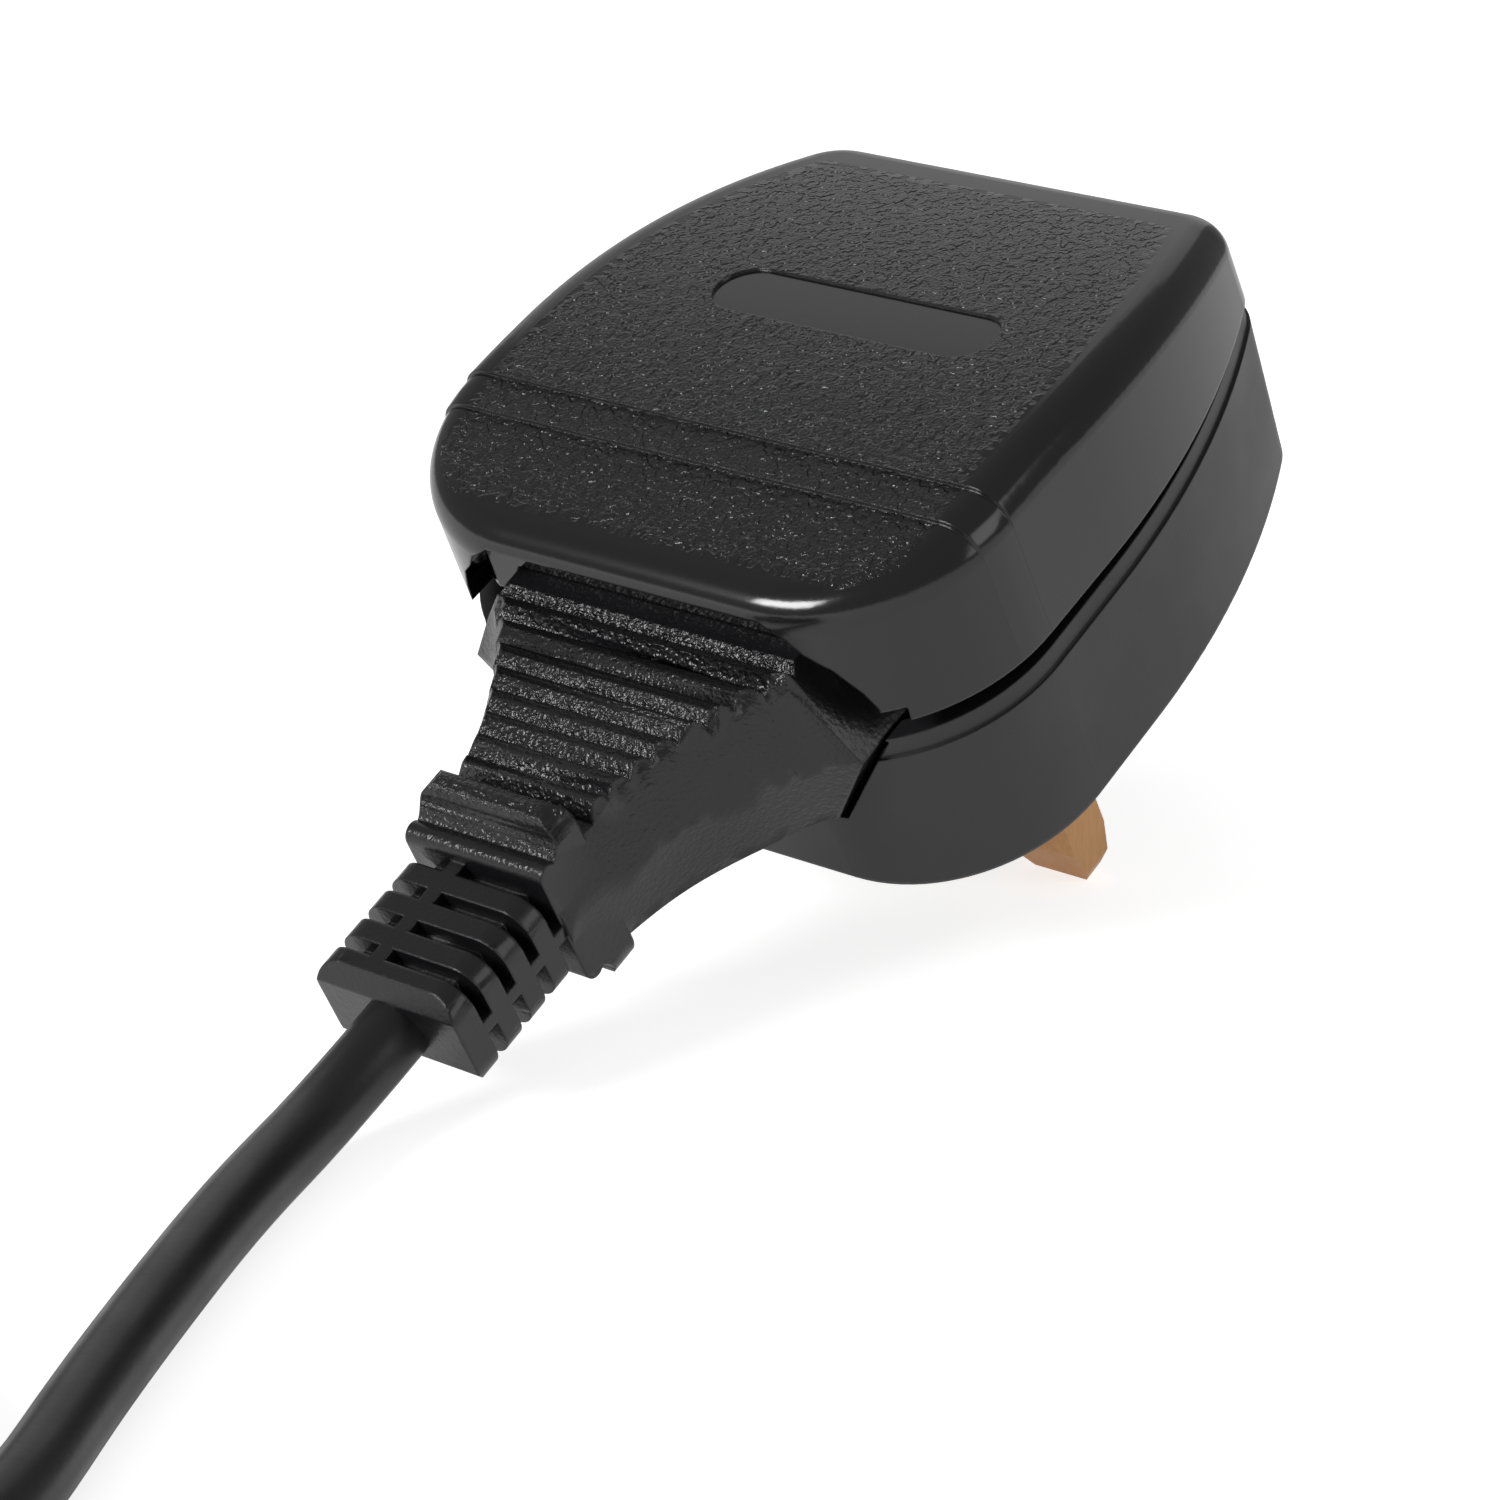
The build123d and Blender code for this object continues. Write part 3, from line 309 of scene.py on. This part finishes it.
def moulded_abs_base(finish):
    """The same ABS from a blasted mould: even satin, faintly pitted."""
    material, tree, shader = fresh_material("Moulded_ABS_base")
    place = plug_coordinates(tree)
    # the real pits are under 0.1 mm wide, and are drawn at about 0.2 mm so that they show
    pits = add_node(
        tree, "ShaderNodeTexNoise", {"Vector": place}, in_2=1 / (0.19231 * MM), in_3=2.0
    )
    cloud = add_node(
        tree, "ShaderNodeTexNoise", {"Vector": place}, in_2=1 / (8.3333 * MM), in_3=2.0
    )
    rough = add_node(
        tree, "ShaderNodeMapRange", {"Value": cloud.outputs["Fac"]}, in_1=0.3, in_2=0.7,
        in_3=0.40, in_4=0.47,
    )
    raise_surface(tree, shader, pits.outputs["Fac"], 0.25, PIT_DEPTH, BASE_ROUND)
    tree.links.new(rough.outputs[0], shader.inputs["Roughness"])
    shader.inputs["Base Color"].default_value = (*finish.base_colour, 1)
    shader.inputs["IOR"].default_value = ABS_IOR
    return material


def moulded_polymer(name, colour, grit, depth, roughness, flank=1.0):
    """A soft or hard polymer straight from the mould: soft sheen over a fine sandy grain.

    Grit is the width of a grain of the blasted mould in millimetres and depth its depth, and
    flank is the share of that depth on steep sides.
    """
    material, tree, shader = fresh_material(name)
    place = plug_coordinates(tree)
    sand = add_node(
        tree, "ShaderNodeTexNoise", {"Vector": place}, in_2=1 / (grit * MM), in_3=1.0
    )
    patch = add_node(
        tree, "ShaderNodeTexNoise", {"Vector": place}, in_2=1 / (5.5556 * MM), in_3=2.0
    )
    rough = add_node(
        tree, "ShaderNodeMapRange", {"Value": patch.outputs["Fac"]}, in_1=0.3, in_2=0.7,
        in_3=roughness[0], in_4=roughness[1],
    )
    # the grain is deep where the mould was blasted and shallow on its steep sides
    upright = add_node(
        tree, "ShaderNodeMath", {0: facing(tree, PLUG_UP)}, operation="ABSOLUTE"
    )
    share = add_node(
        tree, "ShaderNodeMapRange", {"Value": upright.outputs[0]}, in_1=0.55, in_2=0.85,
        in_3=flank,
    )
    # the strain relief behind the collar is smoother than the grip
    split = add_node(tree, "ShaderNodeSeparateXYZ", {0: place})
    relief = add_node(
        tree, "ShaderNodeMapRange", {"Value": split.outputs[1]}, in_1=RELIEF_EDGE[0] * MM,
        in_2=RELIEF_EDGE[1] * MM, in_3=flank,
    )
    # slopes that face the lead are the sandiest
    ahead = add_node(
        tree, "ShaderNodeMapRange", {"Value": facing(tree, PLUG_TO_LEAD)}, in_1=0.05,
        in_2=0.45, in_3=0.35,
    )
    for other in (relief, ahead):
        share = add_node(
            tree, "ShaderNodeMath", {0: share.outputs[0], 1: other.outputs[0]},
            operation="MULTIPLY",
        )
    level = add_node(
        tree, "ShaderNodeMath", {0: sand.outputs["Fac"]}, operation="SUBTRACT", in_1=0.5
    )
    height = add_node(
        tree, "ShaderNodeMath", {0: level.outputs[0], 1: share.outputs[0]},
        operation="MULTIPLY",
    )
    raise_surface(tree, shader, height.outputs[0], 1.0, depth, PVC_ROUND)
    tree.links.new(rough.outputs[0], shader.inputs["Roughness"])
    shader.inputs["Base Color"].default_value = (*colour, 1)
    shader.inputs["IOR"].default_value = PVC_IOR
    return material


def machined_metal(name, colour, roughness, lines, depth):
    """Drawn, stamped or plated metal: fine lines over a slightly clouded surface.

    Lines are the pattern's widths along x, y and z in millimetres, and depth is theirs.
    """
    material, tree, shader = fresh_material(name)
    place = add_node(tree, "ShaderNodeTexCoord")
    stretch = add_node(tree, "ShaderNodeMapping", {"Vector": place.outputs["Object"]})
    stretch.inputs["Scale"].default_value = [1 / (width * MM) for width in lines]
    drawn = add_node(
        tree, "ShaderNodeTexNoise", {"Vector": stretch.outputs[0]}, in_2=1.0, in_3=4.0
    )
    cloud = add_node(
        tree, "ShaderNodeTexNoise", {"Vector": place.outputs["Object"]},
        in_2=1 / (3.8462 * MM), in_3=2.0,
    )
    rough = add_node(
        tree, "ShaderNodeMapRange", {"Value": cloud.outputs["Fac"]}, in_1=0.3, in_2=0.7,
        in_3=roughness[0], in_4=roughness[1],
    )
    shade = add_node(tree, "ShaderNodeMixRGB", {0: drawn.outputs["Fac"]})
    shade.inputs[1].default_value = (*[c * LINE_SHADE for c in colour], 1)
    shade.inputs[2].default_value = (*colour, 1)
    raise_surface(tree, shader, drawn.outputs["Fac"], 0.3, depth)
    tree.links.new(rough.outputs[0], shader.inputs["Roughness"])
    tree.links.new(shade.outputs[0], shader.inputs["Base Color"])
    shader.inputs["Metallic"].default_value = 1.0
    return material


def glazed_ceramic():
    """Glazed steatite fuse tube: smooth, faintly mottled."""
    material, tree, shader = fresh_material("Glazed_ceramic")
    place = add_node(tree, "ShaderNodeTexCoord")
    mottle = add_node(
        tree, "ShaderNodeTexNoise", {"Vector": place.outputs["Object"]},
        in_2=1 / (1.1111 * MM),
    )
    tint = add_node(tree, "ShaderNodeMixRGB", {0: mottle.outputs["Fac"]})
    tint.inputs[1].default_value = (*linear("#d9d3c2"), 1)
    tint.inputs[2].default_value = (*linear("#efeadd"), 1)
    tree.links.new(tint.outputs[0], shader.inputs["Base Color"])
    shader.inputs["Roughness"].default_value = 0.22
    return material


class PLUG_OT_dress_pieces(Operator):
    """Give every moulded, metal and ceramic piece its finish"""

    bl_idname = "plug.dress_pieces"
    bl_label = "Dress Pieces"

    def execute(self, context):
        finish = context.scene.plug_finish
        cover = moulded_abs_cover(finish)
        base = moulded_abs_base(finish)
        # flexible PVC: deep sparkling sand on the grip's slopes, plain flanks
        moulding = moulded_polymer(
            "Flexible_PVC_moulding", finish.moulding_colour, 0.37037, 0.32, (0.24, 0.31),
            flank=0.25,
        )
        # moulded nylon: a smooth dull skin
        sleeve = moulded_polymer(
            "Nylon_sleeve", finish.moulding_colour, 0.33333, 0.03, (0.38, 0.45)
        )
        # pressed phenolic: brown-black, matt and faintly grainy
        phenolic = moulded_polymer(
            "Phenolic_block", linear("#161513"), 0.66667, 0.04, (0.45, 0.55)
        )
        # drawn brass: dull, with fine lines down the pin; the real lines are finer, and all the
        # metals' lines are drawn this coarse so that they show
        brass = machined_metal(
            "Drawn_brass_pin", finish.brass_colour, (0.34, 0.46),
            (0.26316, 0.26316, 2.38095), 0.02,
        )
        # stamped brass: brighter, with the rolling lines of the sheet
        strip = machined_metal(
            "Stamped_brass_strip", linear("#c9a765"), (0.22, 0.32),
            (1.11111, 1.11111, 0.2381), 0.01,
        )
        # nickel plate: a warm, nearly polished grey with faint lines along the pins
        nickel = machined_metal(
            "Nickel_plate", linear("#c9c6bf"), (0.16, 0.26), (0.4, 3.33333, 0.4), 0.008
        )
        # zinc plate: an even, slightly frosted grey
        zinc = machined_metal(
            "Zinc_plated_steel", linear("#a9abab"), (0.28, 0.38),
            (0.55556, 0.55556, 0.55556), 0.01,
        )
        choice = {
            "cover": cover,
            "base_shell": base,
            "earth_pin": base,
            "contact_block": phenolic,
            "plug_body": moulding,
            "connector_body": moulding,
            "fuse_tube": glazed_ceramic(),
            "hinge_pin": zinc,
            "locking_screw": zinc,
            "block_screw_front": zinc,
            "block_screw_rear": zinc,
            "live_pin": brass,
            "neutral_pin": brass,
            "plug_pin_left": nickel,
            "plug_pin_right": nickel,
            "fuse_cap_live": nickel,
            "fuse_cap_load": nickel,
        }
        for name in nodes:
            if "sleeve" in name:
                choice[name] = sleeve
            elif name.startswith("lead") or name == "coil_tie":
                choice[name] = moulding
            elif name not in choice:
                choice[name] = strip
        dressed = [(nodes[name], material) for name, material in choice.items()]
        dressed.append((bpy.data.objects["lead_plug_moulding"], moulding))
        for piece, material in dressed:
            piece.data.materials.clear()
            piece.data.materials.append(material)
        return {"FINISHED"}


# ------------------------------------------------------------------ grip of the lead plug
# in the plug's own frame, in millimetres

GRIP_SHOULDER = -20.0  # where the grip begins; its distances run from here towards the lead
GRIP_AXIS = 14.8
GRIP_HIGH = 6.85  # from the axis to the top at the shoulder
GRIP_FALL = 0.08182  # the top's fall in each millimetre towards the lead
RIDGE_DEPTH = 0.75
GRIP_FIRST, GRIP_LAST = -0.87, 14.21
RIDGE_LEAN = 0.95  # how far a ridge's crest moves towards the housing
MERGE_DISTANCE = 0.001
SMOOTH_ANGLE = math.radians(14)


class PLUG_OT_shape_grip(Operator):
    """Lean the grip's ridges, so that each has a sandy front slope towards the lead"""

    bl_idname = "plug.shape_grip"
    bl_label = "Shape Grip"

    def execute(self, context):
        grip = nodes["plug_body"].copy()
        grip.data = nodes["plug_body"].data.copy()
        grip.name = "lead_plug_moulding"
        context.collection.objects.link(grip)
        bpy.ops.object.select_all(action="DESELECT")
        grip.select_set(True)
        context.view_layer.objects.active = grip
        bpy.ops.object.mode_set(mode="EDIT")
        bpy.ops.mesh.select_all(action="SELECT")
        bpy.ops.mesh.remove_doubles(threshold=MERGE_DISTANCE * MM)
        bpy.ops.object.mode_set(mode="OBJECT")
        # a ridge's points move towards the housing in proportion to their height above its foot
        for vertex in grip.data.vertices:
            place = (WORLD_TO_PLUG @ vertex.co) / MM
            out = GRIP_SHOULDER - place.y
            foot = GRIP_AXIS + GRIP_HIGH - GRIP_FALL * out - RIDGE_DEPTH
            if GRIP_FIRST < out < GRIP_LAST and place.z > foot:
                place.y += RIDGE_LEAN * min(1.0, (place.z - foot) / RIDGE_DEPTH)
                vertex.co = PLUG_TO_WORLD @ (place * MM)
        bpy.ops.object.shade_smooth_by_angle(angle=SMOOTH_ANGLE)
        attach(grip, "plug")
        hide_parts("plug_body")
        return {"FINISHED"}


# ------------------------------------------------------------------ lead
# control points of the lead in millimetres, from the strain relief to the put-away bundle

LEAD_ROUTE = (
    (0.00, -42.29, 6.12),
    (0.00, -49.40, 2.50),
    (4.65, -62.18, 2.50),
    (10.71, -75.46, 2.50),
    (15.97, -86.25, 2.50),
    (21.37, -96.40, 2.50),
    (23.70, -105.09, 2.50),
    (23.70, -113.59, 2.50),
    (23.70, -124.60, 2.60),
)
COIL_CENTRE = (-14.705, -134.594)
COIL_TURNS = 7
# turn, radius and height: half of the turns go in along the floor, the rest come out on top
TURN_MARKS = (
    (0.00, 38.4, 2.6), (0.80, 38.4, 2.6), (1.00, 32.9, 2.6), (1.80, 32.9, 2.6),
    (2.00, 27.4, 2.6), (2.80, 27.4, 2.6), (3.00, 21.9, 2.6), (3.45, 21.9, 2.6),
    (3.65, 21.9, 8.3), (4.25, 21.9, 8.3), (4.45, 27.4, 8.3), (5.25, 27.4, 8.3),
    (5.45, 32.9, 8.3), (6.25, 32.9, 8.3), (6.45, 38.3, 8.3), (7.00, 38.3, 8.3),
)
# the end of the lead, from the bundle's centre: up over the turns and into the connector
LEAD_END = (
    (38.3, 7.0, 8.4),
    (38.1, -3.0, 10.4),
    (35.3, -11.0, 12.5),
    (29.6, -17.6, 14.0),
    (21.8, -22.2, 15.2),
    (13.4, -24.3, 15.8),
    (6.5, -24.44, 15.9),
    (1.96, -24.44, 15.9),
)
LEAD_FACETS = 5  # how finely the lead is divided along its length and round its section


class PLUG_OT_lay_lead(Operator):
    """Lay the lead: along the floor, round its put-away bundle and out to the connector"""

    bl_idname = "plug.lay_lead"
    bl_label = "Lay Lead"

    def execute(self, context):
        settings = context.scene.plug_lead
        count = settings.points_per_turn
        # the curve runs inside its control points, so these stand a little further out
        grow = 1 / math.cos(math.pi / count)
        cx, cy = COIL_CENTRE
        points = [Vector(p) for p in LEAD_ROUTE]
        for k in range(COIL_TURNS * count - 1):
            turn = (k + 0.5) / count
            for (t0, r0, z0), (t1, r1, z1) in zip(TURN_MARKS, TURN_MARKS[1:]):
                if t0 <= turn < t1:
                    share = (turn - t0) / (t1 - t0)
                    share = share * share * (3 - 2 * share)
                    radius = (r0 + (r1 - r0) * share) * grow
                    height = z0 + (z1 - z0) * share
            angle = -2 * math.pi * turn
            points.append(
                Vector((cx + radius * math.cos(angle), cy + radius * math.sin(angle), height))
            )
        points += [Vector((cx + x, cy + y, z)) for x, y, z in LEAD_END]
        curve = bpy.data.curves.new("lead_cord", "CURVE")
        curve.dimensions = "3D"
        curve.bevel_depth = settings.diameter / 2
        curve.bevel_resolution = LEAD_FACETS
        curve.resolution_u = LEAD_FACETS
        spline = curve.splines.new("NURBS")
        spline.points.add(len(points) - 1)
        for target, point in zip(spline.points, points):
            target.co = (*(point * MM), 1)
        spline.order_u = 3
        spline.use_endpoint_u = True
        cord = bpy.data.objects.new("lead_cord", curve)
        context.collection.objects.link(cord)
        # extruded PVC: smoother than the moulding, with a soft streak of light along it
        sheath = moulded_polymer(
            "PVC_sheath", context.scene.plug_finish.moulding_colour, 0.55556, 0.03,
            (0.30, 0.40),
        )
        curve.materials.append(sheath)
        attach(cord, "plug")
        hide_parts("lead", "lead_coil", "lead_tail")
        return {"FINISHED"}


# ------------------------------------------------------------------ camera, floor and lamps

# the camera's axes and its place in millimetres, as fitted to the photograph
CAMERA_RIGHT = (0.77009, 0.63769, -0.01780)
CAMERA_UP = (-0.22258, 0.29474, 0.92930)
CAMERA_BACK = (0.59785, -0.71168, 0.36891)
CAMERA_PLACE = (209.593, -254.6735, 143.580)
FOCAL_PIXELS, FRAME_PIXELS = 4906.5, 1500
SENSOR_WIDTH = 36
CLIP_START = 0.01

SWEEP_SIZE = 8
SWEEP_HEIGHT = -0.00005  # just under the part
SWEEP_TO_CAMERA = 0.75  # white added for the camera, so that the sweep fades out
SWEEP_IN_GLOSS = 0.38  # and in reflections
SKY_STRENGTH = 0.28
LAMP_AIM = (0, 0, 0.02)
# name, place, size and power share of each softbox
SOFTBOXES = (
    ("softbox_key", (-0.66, 0.76, 0.54), (0.90, 0.90), 0.8),
    ("softbox_side", (0.95, 0.15, 0.45), (0.45, 0.60), 1.0),
    ("softbox_front", (-0.34, -0.91, 0.48), (0.50, 0.26), 6.0),
)
WHITE = (1, 1, 1, 1)


class PLUG_OT_place_camera(Operator):
    """Stand the camera where the photograph was taken from"""

    bl_idname = "plug.place_camera"
    bl_label = "Place Camera"

    def execute(self, context):
        axes = (Vector(CAMERA_RIGHT), Vector(CAMERA_UP), Vector(CAMERA_BACK))
        turn = Matrix(axes).transposed()
        bpy.ops.object.camera_add(
            location=Vector(CAMERA_PLACE) * MM, rotation=turn.to_euler()
        )
        camera = context.object
        camera.name = "viewpoint"
        camera.data.sensor_fit = "HORIZONTAL"
        camera.data.sensor_width = SENSOR_WIDTH
        camera.data.lens = SENSOR_WIDTH * FOCAL_PIXELS / FRAME_PIXELS
        camera.data.clip_start = CLIP_START
        context.scene.camera = camera
        return {"FINISHED"}


def paper_sweep(stage):
    """Matt paper: takes the soft shadow, and is white to the camera and in reflections."""
    material = bpy.data.materials.new("Pale_paper_sweep")
    material.use_nodes = True
    tree = material.node_tree
    tree.nodes.clear()
    paper = add_node(tree, "ShaderNodeBsdfDiffuse")
    paper.inputs["Color"].default_value = (*stage.floor_colour, 1)
    seen = add_node(tree, "ShaderNodeLightPath")
    by_camera = add_node(
        tree, "ShaderNodeMath", {0: seen.outputs["Is Camera Ray"]}, operation="MULTIPLY",
        in_1=SWEEP_TO_CAMERA,
    )
    in_gloss = add_node(
        tree, "ShaderNodeMath", {0: seen.outputs["Is Glossy Ray"]}, operation="MULTIPLY",
        in_1=SWEEP_IN_GLOSS,
    )
    lift = add_node(
        tree, "ShaderNodeMath", {0: by_camera.outputs[0], 1: in_gloss.outputs[0]},
        operation="MAXIMUM",
    )
    white = add_node(tree, "ShaderNodeEmission", {"Strength": lift.outputs[0]})
    white.inputs["Color"].default_value = WHITE
    both = add_node(tree, "ShaderNodeAddShader", {0: paper.outputs[0], 1: white.outputs[0]})
    add_node(tree, "ShaderNodeOutputMaterial", {"Surface": both.outputs[0]})
    return material


def pale_studio():
    """A world that is white to the camera and lights the plug softly."""
    world = bpy.data.worlds.new("Pale_studio")
    world.use_nodes = True
    tree = world.node_tree
    tree.nodes.clear()
    soft = add_node(tree, "ShaderNodeBackground", in_1=SKY_STRENGTH)
    soft.inputs["Color"].default_value = WHITE
    white = add_node(tree, "ShaderNodeBackground", in_1=1.0)
    white.inputs["Color"].default_value = WHITE
    seen = add_node(tree, "ShaderNodeLightPath")
    mix = add_node(
        tree, "ShaderNodeMixShader",
        {0: seen.outputs["Is Camera Ray"], 1: soft.outputs[0], 2: white.outputs[0]},
    )
    add_node(tree, "ShaderNodeOutputWorld", {"Surface": mix.outputs[0]})
    return world


class PLUG_OT_set_stage(Operator):
    """Lay the pale sweep and hang the softboxes"""

    bl_idname = "plug.set_stage"
    bl_label = "Set Stage"

    def execute(self, context):
        stage = context.scene.plug_stage
        bpy.ops.mesh.primitive_plane_add(size=SWEEP_SIZE, location=(0, 0, SWEEP_HEIGHT))
        floor = context.object
        floor.name = "sweep"
        floor.data.materials.append(paper_sweep(stage))
        for name, place, size, share in SOFTBOXES:
            aim = (Vector(LAMP_AIM) - Vector(place)).to_track_quat("-Z", "Y")
            bpy.ops.object.light_add(type="AREA", location=place, rotation=aim.to_euler())
            lamp = context.object
            lamp.name = name
            lamp.data.shape = "RECTANGLE"
            lamp.data.size, lamp.data.size_y = size
            lamp.data.energy = stage.lamp_power * share
        context.scene.world = pale_studio()
        context.scene.view_settings.view_transform = "Standard"
        return {"FINISHED"}


# ------------------------------------------------------------------ panel and running

SHOWN_SETTINGS = (
    ("plug_lead", ("diameter", "length", "points_per_turn")),
    (
        "plug_finish",
        ("cover_colour", "base_colour", "moulding_colour", "brass_colour", "grain_size"),
    ),
    ("plug_stage", ("floor_colour", "lamp_power")),
)


class PLUG_PT_tools(Panel):
    """Tools that dress the plug"""

    bl_label = "Converter Plug"
    bl_idname = "PLUG_PT_tools"
    bl_space_type = "VIEW_3D"
    bl_region_type = "UI"
    bl_category = "Plug"

    def draw(self, context):
        layout = self.layout
        for group, names in SHOWN_SETTINGS:
            column = layout.column()
            for name in names:
                column.prop(getattr(context.scene, group), name)
        for operator in OPERATORS:
            layout.operator(operator.bl_idname)


OPERATORS = (
    PLUG_OT_place_camera,
    PLUG_OT_lay_lead,
    PLUG_OT_shape_grip,
    PLUG_OT_dress_pieces,
    PLUG_OT_set_stage,
)
SETTINGS = (
    ("plug_finish", PlugFinishSettings),
    ("plug_lead", PlugLeadSettings),
    ("plug_stage", PlugStageSettings),
)


def register():
    for name, group in SETTINGS:
        bpy.utils.register_class(group)
        setattr(bpy.types.Scene, name, PointerProperty(type=group))
    for operator in OPERATORS:
        bpy.utils.register_class(operator)
    bpy.utils.register_class(PLUG_PT_tools)


def unregister():
    bpy.utils.unregister_class(PLUG_PT_tools)
    for operator in reversed(OPERATORS):
        bpy.utils.unregister_class(operator)
    for name, group in reversed(SETTINGS):
        delattr(bpy.types.Scene, name)
        bpy.utils.unregister_class(group)


def main():
    bpy.ops.object.select_all(action="DESELECT")
    register()
    bpy.ops.plug.place_camera()
    bpy.ops.plug.lay_lead()
    bpy.ops.plug.shape_grip()
    bpy.ops.plug.dress_pieces()
    bpy.ops.plug.set_stage()


if __name__ == "__main__":
    main()
